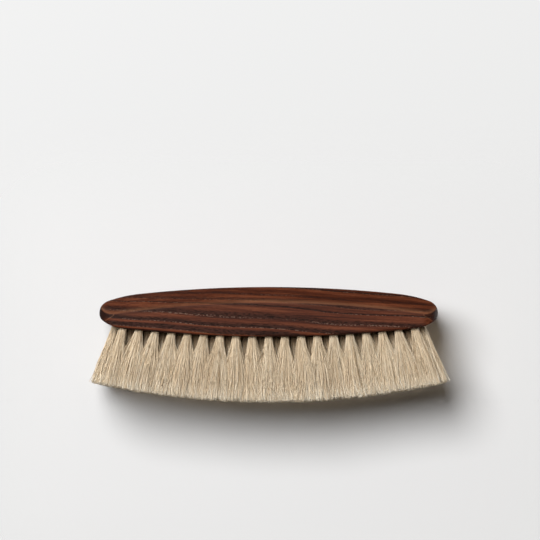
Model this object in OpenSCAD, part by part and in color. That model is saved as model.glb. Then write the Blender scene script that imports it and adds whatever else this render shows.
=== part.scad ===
// A shoe shine brush. A crowned hardwood back is drilled on its belly with
// staggered rows of fanned blind holes. Each hole holds one tuft of horsehair,
// folded over a flat wire anchor that bites into the wood on both sides of it.
// X runs along the back, Y across it, and the hair points down. The origin is
// the lowest point of the hair trim, in the middle of the brush.

/* [Wooden back] */
// Length of the back from nose to nose
back_length = 180; // [172:1:188]
// Width of the back across its two flat sides
back_width = 49.2; // [46:0.2:54]
// Height of the crown above the line of the noses, at mid length
crown_rise = 14.1; // [13.3:0.1:18]
// Depth of the belly below the line of the noses, at mid length
belly_drop = 12.4; // [11.2:0.1:15]
// Radius of the long arc over the top
crown_radius = 650; // [600:10:900]
// Radius of the long arc under the belly
belly_radius = 690; // [640:10:900]
// Radius of the shoulder between the crown and a nose
crown_shoulder_r = 70; // [40:1:90]
// Radius of the shoulder between the belly and a nose
belly_shoulder_r = 20; // [12:1:40]
// Radius of the upper half of a nose
nose_upper_r = 7.1; // [5.5:0.1:8]
// Radius of the lower half of a nose
nose_lower_r = 5.1; // [4:0.1:6.5]
// Radius of the four upright corners in plan
corner_radius = 9; // [6:0.5:14]
// Width of the long bevels beside the top face, seen in plan
bevel_width = 8.9; // [6:0.1:12]
// How far the long bevels fall below the crown
bevel_drop = 8.4; // [5:0.1:9]
// Radius of the arc of the long bevels, which fall faster towards the noses
bevel_radius = 560; // [520:10:900]
// Width of the small easing along the lower long edges
edge_ease = 0.7; // [0.3:0.1:1.5]

/* [Tuft holes] */
// Tufts in each outer row: the rows between them alternate with one more
tufts_in_row = 19; // [15:1:21]
// Number of lengthwise rows, an odd number
row_count = 7; // [5:2:7]
// From a nose to the axis of the last hole of an outer row
end_margin = 12.6; // [11:0.1:16]
// From a flat side to the axis of the holes of an outer row
side_margin = 5.6; // [5:0.1:7]
// Bore of the tuft holes
hole_diameter = 4.4; // [3.6:0.1:4.8]
// Depth of the tuft holes, which are bored with a flat bottom
hole_depth = 9.5; // [7:0.1:11]
// Height above the belly of the line towards which the tufts lean along X
fan_height_x = 300; // [250:10:600]
// Height above the belly of the line towards which the tufts lean along Y
fan_height_y = 190; // [150:10:400]

/* [Hair] */
// Free length of the hair at mid length, from the belly to the trim
hair_length = 34.5; // [28:0.5:42]
// Radius of the arc that the tips are trimmed to
trim_radius = 427; // [360:1:600]
// Room between the bundled hair and the wall of its hole
hair_fit = 0.1; // [0.05:0.05:0.3]
// Smallest room between the tips of two neighbouring tufts
tip_gap = 0.4; // [0.3:0.1:1]

/* [Wire anchors] */
// Thickness of the flat wire
wire_gauge = 0.4; // [0.3:0.05:0.6]
// Width of the flat wire, which stands along the hole
wire_width = 2; // [1.5:0.1:2.6]
// How far an anchor bites into the wood at each end
anchor_bite = 0.5; // [0.3:0.1:0.8]
// Hair folded over the inner edge of an anchor
fold_thickness = 1.4; // [1:0.1:2]

/* [Hidden] */
// Number of steps in a drawn shoulder, half nose and tuft flare
arc_steps = 8;
// Extra size of a cutting form past what it cuts
spare = 2;
half_length = back_length / 2;
half_width = back_width / 2;
nose_z = hair_length + belly_drop;
// Two tuft columns lie in one pitch, because the rows are staggered
columns = 2 * tufts_in_row + 1;
tuft_pitch = (back_length - 2 * end_margin) / (tufts_in_row - 1);
row_pitch = (back_width - 2 * side_margin) / (row_count - 1);
hole_r = hole_diameter / 2;
root_r = hole_r - hair_fit;
steepest_lean = atan((tufts_in_row / 2) * tuft_pitch / fan_height_x);
// Distance between neighbours at the trim, in one row and across two rows
tip_step_x = tuft_pitch * (1 + hair_length / fan_height_x);
tip_step_y = row_pitch * (1 + hair_length / fan_height_y);
tip_spacing = min(tip_step_x, norm([tip_step_x / 2, tip_step_y])) * cos(steepest_lean);
tip_r = (tip_spacing - tip_gap) / 2;

function two_digits(n) = str(n < 10 ? "0" : "", n);
function column_name(column) = str("tufts_", two_digits(column));
function anchor_name(row) = str("anchors_row_", row);

function column_x(column) = (column - tufts_in_row - 1) * tuft_pitch / 2;
function row_y(row) = (row - (row_count + 1) / 2) * row_pitch;
function has_tuft(column, row) = (column + row) % 2 == 1;
function belly_z(x) = hair_length + belly_radius - sqrt(belly_radius * belly_radius - x * x);
function direction(v) = atan2(v[1], v[0]);

// Points along an arc, from one angle to another.
function arc(centre, r, from, to) = [
    for (i = [0:arc_steps])
        let (a = from + (to - from) * i / arc_steps)
        centre + r * [cos(a), sin(a)]
];

// The shoulder arc touches the long arc and the nose arc from inside. The long
// arc peaks at [0, rise] and the nose arc is centred on the line of the noses.
function shoulder_centre(long_c, long_r, shoulder_r, nose_c, nose_r) =
    let (
        a = long_r - shoulder_r,
        b = shoulder_r - nose_r,
        d = norm(nose_c - long_c),
        u = (nose_c - long_c) / d,
        t = (a * a - b * b + d * d) / (2 * d),
        h = sqrt(a * a - t * t)
    )
    long_c + t * u + h * [-u[1], u[0]];

// One end of the side view, above the line of the noses: a lead-in just
// outside the long arc, then the shoulder and the nose down to its tip.
function end_quarter(long_r, shoulder_r, nose_r, rise) =
    let (
        long_c = [0, rise - long_r],
        nose_c = [half_length - nose_r, 0],
        mid_c = shoulder_centre(long_c, long_r, shoulder_r, nose_c, nose_r),
        shoulder = arc(mid_c, shoulder_r, direction(mid_c - long_c), direction(nose_c - mid_c)),
        nose = arc(nose_c, nose_r, direction(nose_c - mid_c), 0),
        lead_in = 2 * shoulder[0] - shoulder[1]
    )
    concat(
        [[lead_in[0], rise + spare], lead_in],
        shoulder,
        [for (i = [1:arc_steps]) nose[i]]
    );

function backwards(points) = [for (i = [len(points) - 1:-1:0]) points[i]];

module end_outline() {
    upper = end_quarter(crown_radius, crown_shoulder_r, nose_upper_r, crown_rise);
    lower = end_quarter(belly_radius, belly_shoulder_r, nose_lower_r, belly_drop);
    right_end = concat(
        upper,
        [for (i = [len(lower) - 2:-1:0]) [lower[i][0], -lower[i][1]]]
    );
    left_end = [for (p = backwards(right_end)) [-p[0], p[1]]];
    polygon(concat(right_end, left_end));
}

// The side view: two long arcs that the shoulders and noses close.
module side_outline() {
    intersection() {
        translate([0, crown_rise - crown_radius])
            circle(r = crown_radius, $fn = 360);
        translate([0, belly_radius - belly_drop])
            circle(r = belly_radius, $fn = 360);
        end_outline();
    }
}

module plan_outline() {
    square([back_length - 2 * corner_radius, back_width], center = true);
    square([back_length, back_width - 2 * corner_radius], center = true);
    for (x = [-1, 1], y = [-1, 1])
        translate([x * (half_length - corner_radius), y * (half_width - corner_radius)])
            circle(r = corner_radius, $fn = 64);
}

// A wheel on the Y axis whose rim falls away to both sides. Where it meets an
// arc of radius r it leaves a bevel of this width and drop along both edges.
module bevel_wheel(r, width, drop) {
    slope = drop / width;
    rim = half_width + spare;
    peak_r = r + (half_width - width) * slope;
    rotate([90, 0, 0])
        rotate_extrude($fn = 360)
            polygon([
                [0, -rim],
                [peak_r - rim * slope, -rim],
                [peak_r, 0],
                [peak_r - rim * slope, rim],
                [0, rim]
            ]);
}

module back_blank() {
    translate([0, 0, nose_z])
        intersection() {
            rotate([90, 0, 0])
                linear_extrude(back_width + 2 * spare, center = true)
                    side_outline();
            translate([0, 0, -belly_drop - spare])
                linear_extrude(belly_drop + crown_rise + 2 * spare)
                    plan_outline();
            translate([0, 0, crown_rise - bevel_radius])
                bevel_wheel(bevel_radius, bevel_width, bevel_drop);
            translate([0, 0, belly_radius - belly_drop])
                bevel_wheel(belly_radius, edge_ease, edge_ease);
        }
}

// Puts its children in a tuft's own frame: the origin where the axis leaves
// the belly, +Z into the hole, and the lean of the fan along both axes.
module at_tuft(column, row) {
    x = column_x(column);
    y = row_y(row);
    translate([x, y, belly_z(x)])
        rotate([atan(y / fan_height_y), -atan(x / fan_height_x), 0])
            children();
}

module tuft_hole() {
    translate([0, 0, -spare])
        cylinder(h = hole_depth + spare, r = hole_r, $fn = 32);
}

// One flat wire anchor, across its hole and under the fold of the hair.
module anchor() {
    translate([0, 0, hole_depth - fold_thickness - wire_width / 2])
        cube([hole_diameter + 2 * anchor_bite, wire_gauge, wire_width], center = true);
}

// A bundle of hair: straight in its hole, then flaring to its tip radius. It
// is drawn longer than needed and is trimmed afterwards.
module hair_bundle() {
    uncut = hair_length + 3 * tip_r;
    flare = [
        for (i = [0:arc_steps])
            let (s = i / arc_steps)
            [tip_r - (tip_r - root_r) * pow(1 - s, 2), -hair_length * s]
    ];
    rotate_extrude($fn = 32)
        polygon(concat(
            [[0, hole_depth], [root_r, hole_depth]],
            flare,
            [[tip_r, -uncut], [0, -uncut]]
        ));
}

// Everything above the arc that the tips are trimmed to.
module trim_form() {
    translate([0, 0, trim_radius])
        rotate([90, 0, 0])
            cylinder(h = 2 * back_width, r = trim_radius, center = true, $fn = 720);
}

module tuft(column, row) {
    difference() {
        intersection() {
            at_tuft(column, row) hair_bundle();
            trim_form();
        }
        at_tuft(column, row) anchor();
    }
}

// The back: one block of wood with a blind hole and an anchor's bite per tuft.
module wood_back() {
    color([0.29, 0.16, 0.12])
        difference() {
            back_blank();
            for (row = [1:row_count], column = [1:columns])
                if (has_tuft(column, row))
                    at_tuft(column, row) {
                        tuft_hole();
                        anchor();
                    }
        }
}

// The tufts that stand side by side across the brush in one column.
module tuft_column(column) {
    color([0.82, 0.74, 0.61])
        for (row = [1:row_count])
            if (has_tuft(column, row))
                tuft(column, row);
}

// The anchors of one lengthwise row.
module anchor_row(row) {
    color([0.75, 0.75, 0.72])
        for (column = [1:columns])
            if (has_tuft(column, row))
                at_tuft(column, row) anchor();
}

wood_back();
for (column = [1:columns])
    tuft_column(column);
for (row = [1:row_count])
    anchor_row(row);
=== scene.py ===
import math

import bmesh
import bpy
import numpy as np
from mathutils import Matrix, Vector


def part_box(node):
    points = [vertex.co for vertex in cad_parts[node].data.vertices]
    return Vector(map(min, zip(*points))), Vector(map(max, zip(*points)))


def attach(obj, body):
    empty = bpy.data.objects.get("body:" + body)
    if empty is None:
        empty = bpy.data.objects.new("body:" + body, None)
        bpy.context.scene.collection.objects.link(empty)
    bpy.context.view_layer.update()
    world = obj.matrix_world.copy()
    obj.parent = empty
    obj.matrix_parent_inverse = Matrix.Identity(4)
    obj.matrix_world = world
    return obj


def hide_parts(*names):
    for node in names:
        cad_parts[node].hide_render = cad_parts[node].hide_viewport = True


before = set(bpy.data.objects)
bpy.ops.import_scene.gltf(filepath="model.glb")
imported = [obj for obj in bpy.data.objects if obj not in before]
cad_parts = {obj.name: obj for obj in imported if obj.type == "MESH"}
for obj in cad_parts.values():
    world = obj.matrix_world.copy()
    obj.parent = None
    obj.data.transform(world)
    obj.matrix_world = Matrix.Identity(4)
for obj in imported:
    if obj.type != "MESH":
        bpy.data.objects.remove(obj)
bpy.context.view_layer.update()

# The brush stands on its hair and is seen from a long side. A lofted back with
# sanded edges replaces the solid one, single strands of hair replace the solid
# tufts, and the wire anchors stay as they are in the solids.
MM = 0.001

# The back, as it is made in wood: sizes in metres, heights from the line of the noses.
wood_low, wood_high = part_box("wood_back")
half_length = wood_high.x
half_width = wood_high.y
crown_rise = 14.1 * MM
belly_drop = 12.4 * MM
nose_z = wood_low.z + belly_drop
crown_radius = 650.0 * MM
belly_radius = 690.0 * MM
crown_shoulder_r = 70.0 * MM
belly_shoulder_r = 20.0 * MM
nose_upper_r = 7.1 * MM
nose_lower_r = 5.1 * MM
corner_radius = 9.0 * MM
bevel_width = 8.9 * MM
bevel_drop = 8.4 * MM
bevel_radius = 560.0 * MM
edge_ease = 0.7 * MM
sanded_edge = 0.4 * MM
sanded_rim = 0.3 * MM

# How far the paler wear with its painted highlight reaches above and below a bevel's lower edge, and how
# far the painted shade reaches below it.
wear_highlight_above = 2.2 * MM
wear_highlight_below = 0.3 * MM
crease_shade_below = 2.0 * MM

# The facet at each end of a flat side is only painted shade, with a painted highlight line before it. It
# starts at facet_x, and below the height facet_z, which is measured from the floor, its edge slants
# outwards.
facet_x = half_length - 7.6 * MM
facet_z = nose_z - 1.3 * MM
facet_slant = 1.6

# The staggered holes and the fan of the tufts. The two columns at each end have
# no tuft past them, because every other place in a row is bare.
tufts_in_row = 19
row_count = 7
columns = 2 * tufts_in_row + 1
end_columns = 2
end_margin = 12.6 * MM
side_margin = 5.6 * MM
tuft_pitch = 2 * (half_length - end_margin) / (tufts_in_row - 1)
row_pitch = 2 * (half_width - side_margin) / (row_count - 1)
hole_r = 2.2 * MM
hole_depth = 9.5 * MM
fan_height_x = 300.0 * MM
fan_height_y = 190.0 * MM

# The hair: a tuft's radius at its root, and at its tips among its neighbours,
# across the brush at its two ends, and past the ends and sides of the brush.
hair_length = nose_z - belly_drop
trim_radius = 427.0 * MM
root_r = hole_r - 0.15 * MM
splay_among = 6.8 * MM
splay_across_end = 8.8 * MM
splay_past_end = 5.4 * MM
splay_past_side = 4.7 * MM
splay_curve = 0.84

# One strand: its radius, the size of its kinks and the share of its length where
# they reach that size, how deep in the hole it starts, and its rings and taper.
strand_r = 0.105 * MM
strand_kink = 0.16 * MM
kinked_from = 0.25
root_sink = 2.5 * MM
strand_steps = np.array([0.0, 0.09, 0.22, 0.38, 0.54, 0.70, 0.85, 0.97, 1.0])
strand_taper = np.array([1.0, 1.0, 1.0, 1.0, 0.97, 0.94, 0.88, 0.78, 0.45])
strand_sides = 3

# Strands in a tuft at the edge of the brush, one step in from it, and further in.
strands_in_tuft = (680, 440, 240)

# The clumps that the strands of a tuft gather in, and how much they vary.
clump_count = 110
clump_spread = 0.97
clump_scatter = 0.11
clump_tone_spread = 0.12
clump_cut_spread = 0.5 * MM
clump_cut_limits = (-0.6 * MM, 1.2 * MM)
clump_bend_spread = 0.045
clump_pull = (0.1, 0.75)

# How single strands vary: places as shares of the tuft's radius, bends and leans
# as shares of the hair's length.
tip_scatter = 0.07
stray_share = 0.12
stray_spread = 0.34
stray_limit = 0.6
outward_reach = np.array([1.4, 1.15])
bend_spread = 0.06
outward_bend = 0.35
lean_spread = 0.026
splay_range = (0.92, 1.06)
cut_spread = 0.15 * MM
inner_tufts_shorter = 0.6 * MM
short_share = 0.16
shorter_by = (0.5 * MM, 3.5 * MM)
thickness_range = (0.75, 1.3)
middle_tone = 0.52
tone_spread = 0.3

# How strong the painted shade at the roots is: in tufts at the edge, behind it at the two ends, and
# inside.
root_shade_at_edge = 0.18
root_shade_at_ends = 0.7
root_shade_inside = 1.0


def column_x(column):
    """Place along the back of a crosswise column, counted from 1."""
    return (column - tufts_in_row - 1) * tuft_pitch / 2


def row_y(row):
    """Place across the back of a lengthwise row, counted from 1."""
    return (row - (row_count + 1) / 2) * row_pitch


def has_tuft(column, row):
    """The rows are staggered: every other place is bare."""
    return (column + row) % 2 == 1


def belly_z(x):
    """Height of the belly above the floor."""
    return hair_length + belly_radius - math.sqrt(belly_radius ** 2 - x ** 2)


def tuft_frame(column, row):
    """The point where a tuft leaves the belly, and its own three axes as rows."""
    x = column_x(column)
    y = row_y(row)
    lean_y = math.atan(y / fan_height_y)
    lean_x = -math.atan(x / fan_height_x)
    turn_x = np.array([
        [1, 0, 0],
        [0, math.cos(lean_y), -math.sin(lean_y)],
        [0, math.sin(lean_y), math.cos(lean_y)],
    ])
    turn_y = np.array([
        [math.cos(lean_x), 0, math.sin(lean_x)],
        [0, 1, 0],
        [-math.sin(lean_x), 0, math.cos(lean_x)],
    ])
    # The turn about X comes first, then the turn about Y.
    return np.array([x, y, belly_z(x)]), (turn_y @ turn_x).T


def shoulder_centre(long_c, long_r, shoulder_r, nose_c, nose_r):
    """Centre of the shoulder arc, which touches the long arc and the nose from inside."""
    a = long_r - shoulder_r
    b = shoulder_r - nose_r
    gap = nose_c - long_c
    d = float(np.hypot(*gap))
    u = gap / d
    t = (a * a - b * b + d * d) / (2 * d)
    h = math.sqrt(a * a - t * t)
    return long_c + t * u + h * np.array([-u[1], u[0]])


def quarter_distance(x, z, long_r, shoulder_r, nose_r, rise):
    """Distance out of one quarter of the side view: long arc, shoulder, nose."""
    long_c = np.array([0.0, rise - long_r])
    nose_c = np.array([half_length - nose_r, 0.0])
    mid_c = shoulder_centre(long_c, long_r, shoulder_r, nose_c, nose_r)
    first = math.atan2(*(mid_c - long_c)[::-1])
    second = math.atan2(*(nose_c - mid_c)[::-1])
    to_long = np.hypot(x - long_c[0], z - long_c[1]) - long_r
    to_shoulder = np.hypot(x - mid_c[0], z - mid_c[1]) - shoulder_r
    to_nose = np.hypot(x - nose_c[0], z - nose_c[1]) - nose_r
    on_long = np.arctan2(z - long_c[1], x - long_c[0]) >= first
    on_shoulder = np.arctan2(z - mid_c[1], x - mid_c[0]) >= second
    return np.where(on_long, to_long, np.where(on_shoulder, to_shoulder, to_nose))


def side_distance(x, z):
    """Signed distance to the outline of the side view, negative inside."""
    above = quarter_distance(np.abs(x), z, crown_radius, crown_shoulder_r, nose_upper_r, crown_rise)
    below = quarter_distance(np.abs(x), -z, belly_radius, belly_shoulder_r, nose_lower_r, belly_drop)
    return np.where(z >= 0, above, below)


def plan_distance(x, y):
    """Signed distance to the rounded rectangle of the plan, a little past the noses."""
    past_x = np.abs(x) - (half_length + sanded_edge - corner_radius)
    past_y = np.abs(y) - (half_width - corner_radius)
    outside = np.hypot(np.maximum(past_x, 0), np.maximum(past_y, 0))
    return outside + np.minimum(np.maximum(past_x, past_y), 0) - corner_radius


def cone_distance(x, y, z, long_r, centre_z, width, drop):
    """Distance out of a wheel on the Y axis that leaves a bevel along both edges."""
    slope = drop / width
    peak = long_r + (half_width - width) * slope
    rim = peak - np.abs(y) * slope
    return (np.hypot(x, z - centre_z) - rim) / math.hypot(1, slope)


def bevel_distance(x, y, z):
    """Distance out of the two long bevels."""
    return cone_distance(x, y, z, bevel_radius, crown_rise - bevel_radius, bevel_width, bevel_drop)


def rounded(a, b, radius):
    """The inside of both, with the edge between them rounded."""
    corner = np.hypot(np.maximum(a + radius, 0), np.maximum(b + radius, 0))
    return np.minimum(np.maximum(a, b), -radius) + corner


def back_distance(p):
    """Signed distance to the whole wooden back. Heights are from the nose line."""
    x, y, z = p[:, 0], p[:, 1], p[:, 2]
    belly_c = belly_radius - belly_drop
    d = rounded(side_distance(x, z), plan_distance(x, y), sanded_edge)
    d = rounded(d, bevel_distance(x, y, z), sanded_edge)
    return rounded(d, cone_distance(x, y, z, belly_radius, belly_c, edge_ease, edge_ease), sanded_rim)


def crease_shade_share(p):
    """Share of the painted shade under the bevel: 1 at the top of a flat side, fading out down the side.
    """
    near = 0.1 * MM
    x, y, z = p[:, 0], p[:, 1], p[:, 2]
    under_bevel = np.clip(1 + bevel_distance(x, y, z) / crease_shade_below, 0, 1)
    return under_bevel * (plan_distance(x, y) > -near) * (bevel_distance(x, y, z) < -near)


def wear_highlight_share(p):
    """Share of the paler wear with its painted highlight: 1 on the lower edge of a bevel, fading out up
    the bevel and at once below it.
    """
    x, y, z = p[:, 0], p[:, 1], p[:, 2]
    on_side = np.clip(1 + bevel_distance(x, y, z) / wear_highlight_below, 0, 1)
    up_bevel = np.clip(1 + plan_distance(x, y) / wear_highlight_above, 0, 1)
    return on_side * up_bevel


def settle_on_surface(points, distance, rounds=6, step=0.02 * MM, least_slope=0.5):
    """Moves points along the gradient of a distance until they lie on its zero."""
    for _ in range(rounds):
        gradient = np.empty_like(points)
        for axis in range(3):
            ahead = points.copy()
            behind = points.copy()
            ahead[:, axis] += step
            behind[:, axis] -= step
            gradient[:, axis] = (distance(ahead) - distance(behind)) / (2 * step)
        steepness = np.maximum((gradient ** 2).sum(1), least_slope ** 2)
        points = points - gradient * (distance(points) / steepness)[:, None]
    return points


def arc_height(x, radius, rise):
    """Height at x of an arc that peaks at this rise over the middle."""
    return rise - radius + math.sqrt(radius * radius - x * x)


def outline_height(x, long_r, shoulder_r, nose_r, rise):
    """Height of the side view's outline at x, found by halving."""
    halvings = 40
    low, high = 0.0, rise
    for _ in range(halvings):
        middle = (low + high) / 2
        x_there, z_there = np.array([abs(x)]), np.array([middle])
        if quarter_distance(x_there, z_there, long_r, shoulder_r, nose_r, rise)[0] <= 0:
            low = middle
        else:
            high = middle
    return low


def spread(start, end, count, lean=0.55):
    """Steps from start to end that crowd towards both ends."""
    t = np.linspace(0, 1, count)
    crowded = t - lean * np.sin(2 * math.pi * t) / (2 * math.pi)
    return start + (end - start) * crowded


def plan_half_width(x):
    """Half the width of the back in plan, less where its corners are rounded."""
    past = abs(x) - (half_length - corner_radius)
    if past <= 0:
        return half_width
    return half_width - corner_radius + math.sqrt(max(corner_radius ** 2 - past ** 2, 0))


def half_section(x):
    """One side of the back's section at x: top, bevel, flat side, easing and belly."""
    width = plan_half_width(x)
    top = outline_height(x, crown_radius, crown_shoulder_r, nose_upper_r, crown_rise)
    bottom = -outline_height(x, belly_radius, belly_shoulder_r, nose_lower_r, belly_drop)
    slope = bevel_drop / bevel_width
    over_crown = arc_height(x, bevel_radius, crown_rise) - top
    crease = min(half_width - bevel_width + over_crown / slope, width)
    under_belly = bottom + arc_height(x, belly_radius, belly_drop)
    ease = min(half_width - edge_ease + under_belly, width)
    wall_top = top - (width - crease) * slope
    wall_low = bottom + (width - ease)
    top_steps, bevel_steps, wall_steps, ease_steps, belly_steps = 14, 12, 14, 5, 12
    section = [(y, top) for y in spread(0, crease, top_steps)]
    section += [(y, top - (y - crease) * slope) for y in spread(crease, width, bevel_steps)[1:]]
    section += [(width, z) for z in spread(wall_top, wall_low, wall_steps)[1:]]
    section += [(y, bottom + (y - ease)) for y in spread(width, ease, ease_steps)[1:]]
    section += [(y, bottom) for y in spread(ease, 0, belly_steps)[1:]]
    return section


def stations():
    """Places along the back where it gets a section, crowded at the noses."""
    last_even = 80.0 * MM
    even_count, run_in_count, turn_count = 54, 6, 18
    nose_start = half_length - nose_upper_r
    middle = np.linspace(0, last_even, even_count)
    run_in = np.linspace(last_even, nose_start, run_in_count)[1:]
    turn = nose_start + nose_upper_r * np.sin(np.linspace(0, math.pi / 2, turn_count))[1:]
    right = np.concatenate([middle, run_in, turn])
    return np.concatenate([-right[:0:-1], right])


def mesh_piece(name, points, faces, smooth=True):
    """A mesh object from numpy points and a list of faces, in the collection."""
    mesh = bpy.data.meshes.new(name)
    mesh.from_pydata([tuple(p) for p in points], [], faces)
    mesh.validate()
    if smooth:
        mesh.polygons.foreach_set("use_smooth", [True] * len(mesh.polygons))
    piece = bpy.data.objects.new(name, mesh)
    bpy.context.scene.collection.objects.link(piece)
    return piece


def weld(piece, gap):
    """Welds points closer than the gap, as at the closed ends of the noses."""
    work = bmesh.new()
    work.from_mesh(piece.data)
    bmesh.ops.remove_doubles(work, verts=work.verts, dist=gap)
    bmesh.ops.dissolve_degenerate(work, edges=work.edges, dist=gap)
    bmesh.ops.recalc_face_normals(work, faces=work.faces)
    work.to_mesh(piece.data)
    work.free()


def wooden_blank():
    """The back before it is drilled: sections lofted from nose to nose."""
    weld_gap = 0.03 * MM
    places = stations()
    rings = []
    for x in places:
        right = half_section(x)
        left = [(-y, z) for y, z in right[-2:0:-1]]
        rings.append([(x, y, z) for y, z in right + left])
    around = len(rings[0])
    points = np.array(rings, float).reshape(-1, 3)
    points = settle_on_surface(points, back_distance)
    # Shares of the paler wear with its painted highlight, and of the painted shade under the bevels.
    rubbed = wear_highlight_share(points)
    gathered = crease_shade_share(points)
    points[:, 2] += nose_z
    faces = []
    for i in range(len(places) - 1):
        for j in range(around):
            k = (j + 1) % around
            faces.append((i * around + j, i * around + k, (i + 1) * around + k, (i + 1) * around + j))
    blank = mesh_piece("wooden_back", points, faces)
    for label, values in (("rubbed", rubbed), ("gathered", gathered)):
        layer = blank.data.attributes.new(label, "FLOAT", "POINT")
        layer.data.foreach_set("value", values.astype(np.float32))
    weld(blank, weld_gap)
    return blank


def hole_drills():
    """One closed drill body for each tuft hole, all in one mesh."""
    sides = 24
    turn = np.linspace(0, 2 * math.pi, sides, endpoint=False)
    proud = 1.5 * MM
    points = []
    faces = []
    for row in range(1, row_count + 1):
        for column in range(1, columns + 1):
            if not has_tuft(column, row):
                continue
            origin, axes = tuft_frame(column, row)
            start = len(points)
            for height in (-proud, hole_depth):
                for a in turn:
                    local = np.array([hole_r * math.cos(a), hole_r * math.sin(a), height])
                    points.append(origin + local @ axes)
            for j in range(sides):
                k = (j + 1) % sides
                faces.append((start + j, start + k, start + sides + k, start + sides + j))
            faces.append(tuple(start + j for j in reversed(range(sides))))
            faces.append(tuple(start + sides + j for j in range(sides)))
    return mesh_piece("drills", points, faces, smooth=False)


def wooden_back():
    """The blank with its tuft holes, smooth apart from the edges of the holes."""
    sharp_from = math.radians(38)
    back = wooden_blank()
    drills = hole_drills()
    cut = back.modifiers.new("tuft_holes", "BOOLEAN")
    cut.operation = "DIFFERENCE"
    cut.solver = "EXACT"
    cut.object = drills
    drilled = bpy.data.meshes.new_from_object(back.evaluated_get(bpy.context.evaluated_depsgraph_get()))
    back.modifiers.clear()
    back.data = drilled
    bpy.data.objects.remove(drills)
    drilled.polygons.foreach_set("use_smooth", [True] * len(drilled.polygons))
    drilled.set_sharp_from_angle(angle=sharp_from)
    return back


class Wire:
    """A socket of a finish, so that shader maths can be written as maths."""

    def __init__(self, finish, socket):
        self.finish = finish
        self.socket = socket

    def maths(self, operation, *values):
        sockets = dict(enumerate((self,) + values))
        return self.finish.node("ShaderNodeMath", {"operation": operation}, sockets)

    def __add__(self, other):
        return self.maths("ADD", other)

    def __sub__(self, other):
        return self.maths("SUBTRACT", other)

    def __mul__(self, other):
        return self.maths("MULTIPLY", other)

    def __truediv__(self, other):
        return self.maths("DIVIDE", other)

    def __pow__(self, other):
        return self.maths("POWER", other)

    def __rsub__(self, other):
        return self.finish.node("ShaderNodeMath", {"operation": "SUBTRACT"}, {0: other, 1: self})

    def __rtruediv__(self, other):
        return self.finish.node("ShaderNodeMath", {"operation": "DIVIDE"}, {0: other, 1: self})

    __radd__ = __add__
    __rmul__ = __mul__

    def floor(self):
        return self.maths("FLOOR")

    def fraction(self):
        return self.maths("FRACT")

    def size(self):
        return self.maths("ABSOLUTE")

    def above_zero(self):
        return self.maths("MAXIMUM", 0.0)

    def clamped(self):
        return self.finish.node("ShaderNodeClamp", {}, {"Value": self})

    def split(self):
        """The X, Y and Z of a vector."""
        return [self.finish.node("ShaderNodeSeparateXYZ", {}, {0: self}, axis) for axis in range(3)]

    def rise(self, low, high):
        """0 below low, 1 above high, and a smooth step between them."""
        settings = {"interpolation_type": "SMOOTHSTEP"}
        sockets = {"Value": self, "From Min": low, "From Max": high}
        return self.finish.node("ShaderNodeMapRange", settings, sockets)


class Finish:
    """A procedural material, or the world's light, made of nodes."""

    def __init__(self, name, owner=None):
        self.owner = owner or bpy.data.materials.new(name)
        self.owner.use_nodes = True
        self.tree = self.owner.node_tree
        self.tree.nodes.clear()

    def node(self, kind, settings=None, sockets=None, output=0):
        """Adds a node: its settings first, then values or links for its sockets."""
        made = self.tree.nodes.new(kind)
        for name, value in (settings or {}).items():
            if name == "stops":
                self.set_stops(made.color_ramp, value)
            else:
                setattr(made, name, value)
        for name, value in (sockets or {}).items():
            if isinstance(value, Wire):
                self.tree.links.new(value.socket, made.inputs[name])
            else:
                made.inputs[name].default_value = value
        if made.outputs:
            return Wire(self, made.outputs[output])
        return None

    def set_stops(self, ramp, stops):
        while len(ramp.elements) < len(stops):
            ramp.elements.new(1.0)
        for element, (place, colour) in zip(ramp.elements, stops):
            element.position = place
            element.color = (*colour, 1.0)

    def blend(self, share, first, second):
        """Mixes two colours by a share from 0 to 1."""
        def as_colour(value):
            return value if isinstance(value, Wire) else (*value, 1.0)

        # A Mix node has sockets of one name for each kind of value: these are for colours.
        settings = {"data_type": "RGBA", "blend_type": "MIX"}
        sockets = {0: share, 6: as_colour(first), 7: as_colour(second)}
        return self.node("ShaderNodeMix", settings, sockets, output=2)

    def noise(self, place, stretch, detail=2.0, roughness=0.5):
        """Noise in 0 to 1 over a place that is first scaled along X, Y and Z."""
        scaled = self.node("ShaderNodeVectorMath", {"operation": "MULTIPLY"}, {0: place, 1: stretch})
        sockets = {"Vector": scaled, "Scale": 1.0, "Detail": detail, "Roughness": roughness}
        return self.node("ShaderNodeTexNoise", {"noise_dimensions": "3D"}, sockets)

    def along_a_line(self, place, scale):
        """Noise in 0 to 1 over a single number."""
        return self.node("ShaderNodeTexNoise", {"noise_dimensions": "1D"}, {"W": place, "Scale": scale})

    def luck(self, number):
        """A random value in 0 to 1 for each number."""
        return self.node("ShaderNodeTexWhiteNoise", {"noise_dimensions": "1D"}, {"W": number})

    def attribute(self, label):
        """A value that the mesh carries at each point."""
        return self.node("ShaderNodeAttribute", {"attribute_name": label}, {}, output="Fac")

    def surface(self, shader):
        self.node("ShaderNodeOutputMaterial", {}, {"Surface": shader})
        return self.owner


def growth_rings(finish, log, from_pith):
    """Uneven rings round the pith: the share of its ring that lies behind a point,
    the ring's dark band of pores, and how strong that ring is."""
    ring_gap = 4.2 * MM
    ring_sway = 7.0 * MM
    ring_waver = 0.9 * MM
    sway = finish.noise(log, (12.0, 30.0, 30.0), detail=1.0)
    waver = finish.noise(log, (60.0, 240.0, 240.0), detail=2.0)
    even_rings = (from_pith + (sway - 0.5) * ring_sway + (waver - 0.5) * ring_waver) / ring_gap
    seasons = finish.along_a_line(even_rings, 0.55)
    rings = even_rings + (seasons - 0.5) * 2.2
    number = rings.floor()
    phase = rings.fraction()
    strength = finish.luck(number).rise(0.05, 0.8) * 0.6 + 0.4
    band_end = finish.luck(number + 0.37) * 0.3 + 0.14
    band = phase.rise(0.0, 0.1) * (1 - phase.rise(band_end, band_end + 0.32)) * strength
    return phase, band, strength


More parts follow.
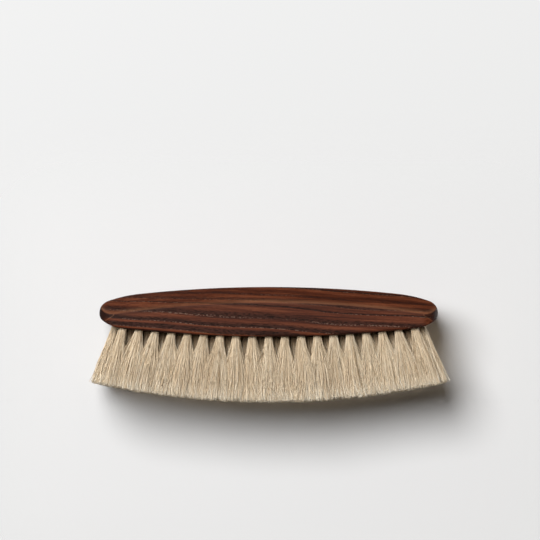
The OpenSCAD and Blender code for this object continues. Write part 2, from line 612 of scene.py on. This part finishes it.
def painted_end_facet(place, facing):
    """The painted shade of the facet at each end of a flat side, and the painted highlight line in front
    of it.
    """
    to_end, _, up = place.split()
    past_upper = to_end.size() - facet_x
    past_slant = past_upper - (facet_z - up) * facet_slant
    past_edge = past_upper.maths("MINIMUM", past_slant)
    upright = 1 - (facing[2] * facing[2]).rise(0.04, 0.16)
    facet_shade = past_edge.rise(0.0, 0.2 * MM) * upright
    highlight_line_end = 1 - past_edge.rise(-0.2 * MM, 0.3 * MM)
    facet_highlight_line = past_edge.rise(-0.7 * MM, -0.2 * MM) * highlight_line_end * upright
    return facet_shade, facet_highlight_line


def stained_ash():
    """Dark stained ash: growth rings round a far pith, open pores, satin oil."""
    pith = (0.0, -30.0 * MM, 6.0 * MM)
    log_tilt = (0.0, math.radians(3.4), math.radians(-0.5))
    body_stops = [
        (0.10, (0.038, 0.0088, 0.0036)),
        (0.50, (0.091, 0.0222, 0.0085)),
        (0.90, (0.174, 0.0515, 0.0220)),
    ]
    band_colour = (0.024, 0.0075, 0.0044)
    # The pale flecks are painted glints on the pores.
    pore_colour = (0.0095, 0.0042, 0.0026)
    glint_colour = (0.27, 0.165, 0.12)
    # Darker end grain, also used for the painted shade on the facets and under the bevels.
    end_and_shade_colour = (0.021, 0.0080, 0.0055)
    # Paler wear with a painted highlight along the bevels' lower edges.
    wear_highlight_colour = (0.26, 0.115, 0.060)

    finish = Finish("stained_ash")
    place = finish.node("ShaderNodeTexCoord", output="Object")
    facing = finish.node("ShaderNodeTexCoord", output="Normal").split()
    log = finish.node("ShaderNodeMapping", {"vector_type": "TEXTURE"}, {
        "Vector": place,
        "Location": pith,
        "Rotation": log_tilt,
    })
    _, side, height = log.split()
    from_pith = (side * side + height * height) ** 0.5
    phase, band, strength = growth_rings(finish, log, from_pith)

    # Fibres, streaks and pores run along the log. Painted glints on the pores follow the start of a
    # ring, where the surface cuts across the rings.
    fibre = finish.noise(log, (70.0, 2600.0, 2600.0), detail=3.0, roughness=0.6)
    streak = finish.noise(log, (22.0, 650.0, 650.0), detail=2.0)
    broad = finish.noise(log, (8.0, 120.0, 120.0), detail=2.0)
    pore = finish.noise(log, (420.0, 2500.0, 2500.0), detail=1.0)
    glint_noise = finish.noise(log, (950.0, 1900.0, 1900.0), detail=1.0)
    along_rings = (side * facing[1] + height * facing[2]) / from_pith
    cut_across = (1 - along_rings * along_rings).rise(0.15, 0.65)
    open_pores = pore.rise(0.50, 0.60) * (band * 0.9 + 0.22)
    pore_line = phase.rise(0.02, 0.05) * (1 - phase.rise(0.10, 0.15))
    painted_glints = glint_noise.rise(0.5, 0.6) * pore_line * strength * broad.rise(0.38, 0.5) * cut_across

    tone = (fibre + streak * 1.4 + broad * 0.9 + phase * 0.25 - 1.3).clamped()
    body = finish.node("ShaderNodeValToRGB", {"stops": body_stops}, {"Fac": tone})
    banded = finish.blend((band * (streak * 0.8 + 0.5)).clamped(), body, band_colour)
    pored = finish.blend((open_pores * 0.85).clamped(), banded, pore_colour)
    with_glints = finish.blend((painted_glints * 0.55).clamped(), pored, glint_colour)

    # The ends are darker end grain with a painted shade on their facets, the side under each bevel gets
    # a painted shade, and the bevels' lower edges get paler wear with a painted highlight, as does the
    # line before each facet.
    # Painted shade on the end facets, and a painted highlight line before them.
    facet_shade, facet_highlight_line = painted_end_facet(place, facing)
    end_grain_and_facet_shade = (facing[0] * facing[0]).rise(0.05, 0.8) * 0.6 + facet_shade * 0.45
    # Painted shade on the flat side just under each bevel.
    gathered = finish.attribute("gathered").rise(0.0, 0.8) * (streak * 1.2 + broad * 0.8 - 0.45)
    darkened = finish.blend((end_grain_and_facet_shade + gathered * 0.6).clamped(), with_glints, end_and_shade_colour)
    # Paler wear with a painted highlight on each bevel's lower edge.
    rubbed = finish.attribute("rubbed") * (fibre * 0.8 + broad * 1.2 - 0.5).clamped()
    colour = finish.blend((rubbed * 0.95 + facet_highlight_line * 0.4).clamped(), darkened, wear_highlight_colour)

    relief = fibre * 0.25 - open_pores
    bump = finish.node("ShaderNodeBump", {}, {"Strength": 0.35, "Distance": 0.12 * MM, "Height": relief})
    shader = finish.node("ShaderNodeBsdfPrincipled", {}, {
        "Base Color": colour,
        "Roughness": fibre * 0.16 + open_pores * 0.2 + 0.42,
        "Specular IOR Level": 0.09,
        "Normal": bump,
    })
    return finish.surface(shader)


def horse_hair():
    """Pale horsehair: each strand has its own tone, with a painted shade towards its root."""
    strand_stops = [
        (0.0, (0.41, 0.285, 0.160)),
        (0.35, (0.77, 0.615, 0.420)),
        (0.75, (0.90, 0.770, 0.575)),
        (1.0, (0.95, 0.870, 0.720)),
    ]
    root_shade_colour = (0.24, 0.155, 0.080)

    finish = Finish("pale_horsehair")
    along = finish.attribute("root_to_tip")
    tone = finish.attribute("strand_tone")
    shelter = finish.attribute("shelter")
    place = finish.node("ShaderNodeTexCoord", output="Object")
    mottle = finish.noise(place, (500.0, 500.0, 180.0), detail=2.0)
    pale_tip = along.rise(0.75, 1.0) * 0.3
    lightness = (tone * 0.75 + mottle * 0.3 + along * 0.08 + pale_tip - 0.12).clamped()
    strand = finish.node("ShaderNodeValToRGB", {"stops": strand_stops}, {"Fac": lightness})
    # Painted shade at the roots, stronger in tufts away from the edge.
    root_shade = (1 - along.rise(0.09, 0.42)) * shelter
    colour = finish.blend(root_shade, strand, root_shade_colour)
    shader = finish.node("ShaderNodeBsdfPrincipled", {}, {
        "Base Color": colour,
        "Roughness": tone * 0.15 + 0.45,
        "Specular IOR Level": 0.35,
    })
    return finish.surface(shader)


def anchor_wire():
    """Drawn flat wire, with fine lines along it."""
    groove_colour = (0.42, 0.41, 0.38)
    ridge_colour = (0.66, 0.65, 0.62)
    finish = Finish("drawn_anchor_wire")
    place = finish.node("ShaderNodeTexCoord", output="Object")
    lines = finish.noise(place, (200.0, 4000.0, 9000.0), detail=2.0)
    colour = finish.blend(lines, groove_colour, ridge_colour)
    shader = finish.node("ShaderNodeBsdfPrincipled", {}, {
        "Base Color": colour,
        "Metallic": 1.0,
        "Roughness": lines * 0.2 + 0.25,
    })
    return finish.surface(shader)


class Strands:
    """Collects the closed strands of one tuft column as arrays."""

    def __init__(self):
        self.points = []
        self.along = []
        self.tone = []
        self.shelter = []

    def add(self, paths, radii, tones, along, root_shade_strength):
        """Adds closed strands. paths: strands x rings x 3, radii and along: strands x rings."""
        # No strand runs this way, so it gives each of them a side.
        sideways = np.array([0.31, 0.95, 0.05])
        tangent = np.gradient(paths, axis=1)
        tangent /= np.linalg.norm(tangent, axis=2, keepdims=True)
        side = np.cross(tangent, sideways)
        side /= np.linalg.norm(side, axis=2, keepdims=True)
        other = np.cross(tangent, side)
        turn = 2 * math.pi * np.arange(strand_sides) / strand_sides
        shape = (
            side[:, :, None, :] * np.cos(turn)[None, None, :, None]
            + other[:, :, None, :] * np.sin(turn)[None, None, :, None]
        )
        self.points.append(paths[:, :, None, :] + shape * radii[:, :, None, None])
        self.along.append(np.repeat(along[:, :, None], strand_sides, 2))
        self.tone.append(np.broadcast_to(tones[:, None, None], (*along.shape, strand_sides)))
        # The strength of the painted shade at the roots, one value for the whole tuft.
        self.shelter.append(np.full((*along.shape, strand_sides), root_shade_strength))


def trim_height(x):
    """Height of the arc that the tips are trimmed to."""
    return trim_radius - np.sqrt(trim_radius ** 2 - x ** 2)


def spread_radius(free, tip):
    """How far an outer strand has moved out at a share of the free length."""
    return root_r + (tip - root_r) * (1 - (1 - np.clip(free, 0, 1)) ** splay_curve)


def strand_paths(tuft, length):
    """Points along strands, from inside the hole to the tips, in the shared frame."""
    depth = -root_sink + (length + root_sink)[:, None] * strand_steps[None, :]
    free = np.clip(depth / hair_length, 0, 1)[:, :, None]
    across = tuft["start"][:, None, :] * (1 - free) + tuft["tips"][:, None, :] * free
    across = across * spread_radius(free, tuft["splay"][:, None, :])
    across = across + free * tuft["lean"] * hair_length
    bow = np.sin(math.pi * free) * free * tuft["bend"][:, None, :] * hair_length
    kinks = tuft["kinks"] * np.clip(free / kinked_from, 0, 1)
    local = np.concatenate([across + bow + kinks, -depth[:, :, None]], 2)
    return tuft["origin"] + local @ tuft["axes"]


def round_places(count, rng):
    """Places spread evenly over a disc of radius 1."""
    share = np.sqrt(rng.random(count))
    turn = rng.random(count) * 2 * math.pi
    return np.stack([share * np.cos(turn), share * np.sin(turn)], 1)


def trimmed_length(tuft, ragged):
    """Lengths at which the strands end this far above the trim arc, found in rounds."""
    rounds = 4
    length = np.full(len(ragged), hair_length)
    for _ in range(rounds):
        end = strand_paths(tuft, length)[:, -1]
        length = length + end[:, 2] - (trim_height(end[:, 0]) + ragged)
    return length


def hair_clumps(rng):
    """The clumps of one tuft: where they start and end, their tone, cut and bend."""
    places = round_places(clump_count, rng)
    return {
        "places": places,
        "tips": places * clump_spread + rng.normal(0, clump_scatter, (clump_count, 2)),
        "tone": rng.normal(0, clump_tone_spread, clump_count),
        "cut": rng.normal(0, clump_cut_spread, clump_count),
        "bend": rng.normal(0, clump_bend_spread, (clump_count, 2)),
    }


def strand_tips(roots, clump_tips, rng):
    """Tips that are drawn towards their clump's, with some of them astray."""
    count = len(roots)
    pull = rng.uniform(*clump_pull, count)[:, None]
    tips = roots + (clump_tips - roots) * pull + rng.normal(0, tip_scatter, (count, 2))
    stray = rng.random(count) < stray_share
    strayed = rng.normal(0, stray_spread, (int(stray.sum()), 2))
    tips[stray] += np.clip(strayed, -stray_limit, stray_limit)
    return tips


def towards_neighbour(tips, column, row):
    """Whether there is a tuft on the side that a tip leans to, along X and along Y."""
    return np.stack([
        np.where(tips[:, 0] > 0, column <= columns - end_columns, column > end_columns),
        np.where(tips[:, 1] > 0, row < row_count, row > 1),
    ], 1)


def short_of_trim(clump_cut, steps_in, rng):
    """How far above the trim arc each strand ends, because a trim is never even."""
    count = len(clump_cut)
    ragged = rng.normal(0, cut_spread, count) + np.clip(clump_cut, *clump_cut_limits)
    if steps_in > 0:
        ragged += inner_tufts_shorter
    short = rng.random(count) < short_share
    ragged[short] += rng.uniform(*shorter_by, int(short.sum()))
    return ragged


def tuft_strands(strands, column, row, rng):
    """Strands of one tuft: out of its hole, fanning out, and cut on the trim arc."""
    steps_in = min(row - 1, row_count - row, column - 1, columns - column)
    at_end = column <= end_columns or column > columns - end_columns
    count = strands_in_tuft[min(steps_in, len(strands_in_tuft) - 1)]
    origin, axes = tuft_frame(column, row)
    clumps = hair_clumps(rng)
    roots = round_places(count, rng)
    nearest = ((roots[:, None, :] - clumps["places"][None, :, :]) ** 2).sum(2).argmin(1)
    tips = strand_tips(roots, clumps["tips"][nearest], rng)
    bend = rng.normal(0, bend_spread, (count, 2)) + clumps["bend"][nearest]

    neighbour = towards_neighbour(tips, column, row)
    splay_across = splay_across_end if at_end else splay_among
    among = np.array([splay_among, splay_across]) * rng.uniform(*splay_range)
    tuft = {
        "origin": origin,
        "axes": axes,
        "start": roots,
        "tips": np.where(neighbour, tips, np.clip(tips, -outward_reach, outward_reach)),
        "bend": bend * np.where(neighbour, 1.0, outward_bend),
        "kinks": rng.normal(0, strand_kink, (count, len(strand_steps), 2)),
        "lean": rng.normal(0, lean_spread, 2),
        "splay": np.where(neighbour, among, [splay_past_end, splay_past_side]),
    }

    length = trimmed_length(tuft, short_of_trim(clumps["cut"][nearest], steps_in, rng))
    paths = strand_paths(tuft, length)
    radii = strand_r * rng.uniform(*thickness_range, count)[:, None] * strand_taper[None, :]
    tones = middle_tone + clumps["tone"][nearest] + rng.normal(0, tone_spread, count)
    # Painted shade at the roots: weak in tufts at the edge, stronger behind it.
    root_shade_strength = root_shade_at_edge
    if steps_in > 0:
        root_shade_strength = root_shade_at_ends if at_end else root_shade_inside
    along = np.broadcast_to(strand_steps, paths.shape[:2])
    strands.add(paths, radii, np.clip(tones, 0, 1), along, root_shade_strength)


def tuft_column(column, rng):
    """The tufts of one column as one piece of closed strands."""
    strands = Strands()
    for row in range(1, row_count + 1):
        if has_tuft(column, row):
            tuft_strands(strands, column, row, rng)
    return strands_piece(f"hair_column_{column:02d}", strands)


def strands_piece(name, strands):
    """Closed strands as one mesh: quads between the rings and a flat cap at each end."""
    points = np.concatenate(strands.points)
    along = np.concatenate(strands.along)
    tone = np.concatenate(strands.tone)
    shelter = np.concatenate(strands.shelter)
    count, rings, sides, _ = points.shape
    start = np.arange(count)[:, None] * rings * sides
    quads = []
    for i in range(rings - 1):
        for j in range(sides):
            k = (j + 1) % sides
            quads.append((i * sides + j, i * sides + k, (i + 1) * sides + k, (i + 1) * sides + j))
    quads = np.array(quads)
    root_cap = np.arange(sides)[::-1]
    tip_cap = (rings - 1) * sides + np.arange(sides)
    sides_loops = (start[:, :, None] + quads[None]).reshape(count, -1)
    caps_loops = np.concatenate([start + root_cap, start + tip_cap], 1)
    loops = np.concatenate([sides_loops, caps_loops], 1).reshape(-1)
    sizes = np.tile(np.array([4] * len(quads) + [sides, sides]), count)
    starts = np.concatenate([[0], np.cumsum(sizes)[:-1]])

    mesh = bpy.data.meshes.new(name)
    mesh.vertices.add(count * rings * sides)
    mesh.vertices.foreach_set("co", points.reshape(-1).astype(np.float32))
    mesh.loops.add(len(loops))
    mesh.loops.foreach_set("vertex_index", loops.astype(np.int32))
    mesh.polygons.add(len(sizes))
    mesh.polygons.foreach_set("loop_start", starts.astype(np.int32))
    mesh.update(calc_edges=True)
    mesh.polygons.foreach_set("use_smooth", sizes == 4)
    for label, values in (("root_to_tip", along), ("strand_tone", tone), ("shelter", shelter)):
        layer = mesh.attributes.new(label, "FLOAT", "POINT")
        layer.data.foreach_set("value", values.reshape(-1).astype(np.float32))
    add_strand_map(mesh, count, rings, sides, quads)
    piece = bpy.data.objects.new(name, mesh)
    bpy.context.scene.collection.objects.link(piece)
    return piece


def add_strand_map(mesh, count, rings, sides, quads):
    """Gives every strand a small cell of its own in the texture map."""
    inset = 0.12
    per_side = math.ceil(math.sqrt(count))
    cell = 1.0 / per_side
    number = np.arange(count)
    corner = np.stack([number % per_side, number // per_side], 1) * cell
    uv = []
    for quad in quads:
        for step, index in enumerate(quad):
            j = index % sides
            u = j if step in (0, 3) or j else sides
            uv.append((u / sides, (index // sides) / (rings - 1)))
    uv += [(j / sides, 0.0) for j in range(sides)] + [(j / sides, 1.0) for j in range(sides)]
    uv = np.array(uv) * (1 - 2 * inset) + inset
    layer = mesh.uv_layers.new(name="OFBake")
    layer.data.foreach_set("uv", (corner[:, None, :] + uv[None] * cell).reshape(-1).astype(np.float32))


def stage_finish(name, colour, full, fade):
    """A pale surface that shows its front to the camera, keeps the shadow on it,
    melts into the background past its full size and takes no light away."""
    finish = Finish(name)
    place = finish.node("ShaderNodeTexCoord", output="Object")
    across, up, _ = place.split()
    past_side = (across.size() - full[0]).above_zero()
    past_top = (up.size() - full[1]).above_zero()
    past = (past_side * past_side + past_top * past_top) ** 0.5
    camera = finish.node("ShaderNodeLightPath", output="Is Camera Ray")
    glossy = finish.node("ShaderNodeLightPath", output="Is Glossy Ray")
    through = finish.node("ShaderNodeLightPath", output="Is Transmission Ray")
    behind = finish.node("ShaderNodeNewGeometry", output="Backfacing")
    seen = (camera + glossy + through).clamped() * (1 - behind) * (1 - past.rise(0.0, fade))
    clear = finish.node("ShaderNodeBsdfTransparent")
    pale = finish.node("ShaderNodeBsdfDiffuse", {}, {"Color": (*colour, 1.0)})
    return finish.surface(finish.node("ShaderNodeMixShader", {}, {0: seen, 1: clear, 2: pale}))


def stage_plane(name, material, half_size):
    """A square sheet of the stage, flat at first."""
    corners = [(x * half_size, y * half_size, 0) for x, y in ((-1, -1), (1, -1), (1, 1), (-1, 1))]
    plane = mesh_piece(name, corners, [(0, 1, 2, 3)], smooth=False)
    plane.data.materials.append(material)
    return plane


def studio():
    """Pale floor, pale backdrop close behind the brush, a soft key and two weaker lamps."""
    floor_finish = stage_finish("pale_floor", (0.88, 0.88, 0.875), full=(0.2, 0.2), fade=0.55)
    stage_plane("floor", floor_finish, half_size=0.8)

    # The backdrop is turned a little, so that no view along the brush meets it edge-on.
    backdrop_finish = stage_finish("pale_backdrop", (0.785, 0.787, 0.79), full=(0.11, 0.06), fade=0.08)
    backdrop_turn = math.radians(-1.6)
    backdrop = stage_plane("backdrop", backdrop_finish, half_size=0.2)
    backdrop.rotation_euler = (math.radians(90), 0, backdrop_turn)
    backdrop.location = (4.0 * MM, 32.2 * MM, 20.0 * MM)

    # The background is a little brighter to the upper left, where the key stands.
    bright_background = (0.892, 0.892, 0.89)
    dim_background = (0.775, 0.775, 0.765)
    fill_light = (0.066, 0.056, 0.046)
    world = Finish("studio_light", bpy.data.worlds.new("studio_light"))
    sideways, _, upward = world.node("ShaderNodeTexCoord", output="Generated").split()
    away_from_key = (sideways * 2.2 - upward * 4.2 + 0.607).clamped()
    background = world.blend(away_from_key, bright_background, dim_background)
    camera = world.node("ShaderNodeLightPath", output="Is Camera Ray")
    colour = world.blend(camera, fill_light, background)
    light = world.node("ShaderNodeBackground", {}, {"Color": colour, "Strength": 1.0})
    world.node("ShaderNodeOutputWorld", {}, {"Surface": light})
    bpy.context.scene.world = world.owner

    add_lamp("key", (-0.69, -2.10, 0.71), size=1.35, power=64.5)
    add_lamp("side", (1.25, 0.75, 0.5), size=0.9, power=14.0)
    add_lamp("high_rear", (-0.5, 1.2, 1.2), size=0.9, power=13.0)


def add_lamp(name, place, size, power):
    """A round, soft lamp that points at the middle of the brush."""
    brush_middle = Vector((0, 0, 30.0 * MM))
    lamp = bpy.data.lights.new(name, "AREA")
    lamp.shape = "DISK"
    lamp.size = size
    lamp.energy = power
    holder = bpy.data.objects.new(name, lamp)
    holder.location = place
    toward = brush_middle - Vector(place)
    holder.rotation_euler = toward.to_track_quat("-Z", "Y").to_euler()
    bpy.context.scene.collection.objects.link(holder)


def place_camera():
    """Level with the hair tips and far off, looking a little upwards at the long side."""
    picture_px = 540
    size_of_px = 0.5318 * MM
    lens = 250.0
    sensor = 36.0
    camera_height = -1.0 * MM
    aim = Vector((0.7 * MM, -16.0 * MM, 70.0 * MM))
    distance = picture_px * size_of_px * lens / sensor
    camera = bpy.data.cameras.new("photo_camera")
    camera.lens = lens
    camera.sensor_width = sensor
    camera.clip_end = 20.0
    holder = bpy.data.objects.new("photo_camera", camera)
    holder.location = (aim.x, aim.y - distance, camera_height)
    toward = aim - holder.location
    holder.rotation_euler = toward.to_track_quat("-Z", "Y").to_euler()
    bpy.context.scene.collection.objects.link(holder)
    bpy.context.scene.camera = holder


def main():
    hair_seed = 19
    place_camera()
    studio()
    bpy.context.scene.view_settings.view_transform = "Standard"

    back = wooden_back()
    back.data.materials.clear()
    back.data.materials.append(stained_ash())
    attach(back, "root")
    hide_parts("wood_back")

    hair = horse_hair()
    rng = np.random.default_rng(hair_seed)
    for column in range(1, columns + 1):
        piece = tuft_column(column, rng)
        piece.data.materials.append(hair)
        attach(piece, "root")
        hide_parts(f"tufts_{column:02d}")

    wire = anchor_wire()
    for row in range(1, row_count + 1):
        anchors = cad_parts[f"anchors_row_{row}"]
        anchors.data.materials.clear()
        anchors.data.materials.append(wire)


main()
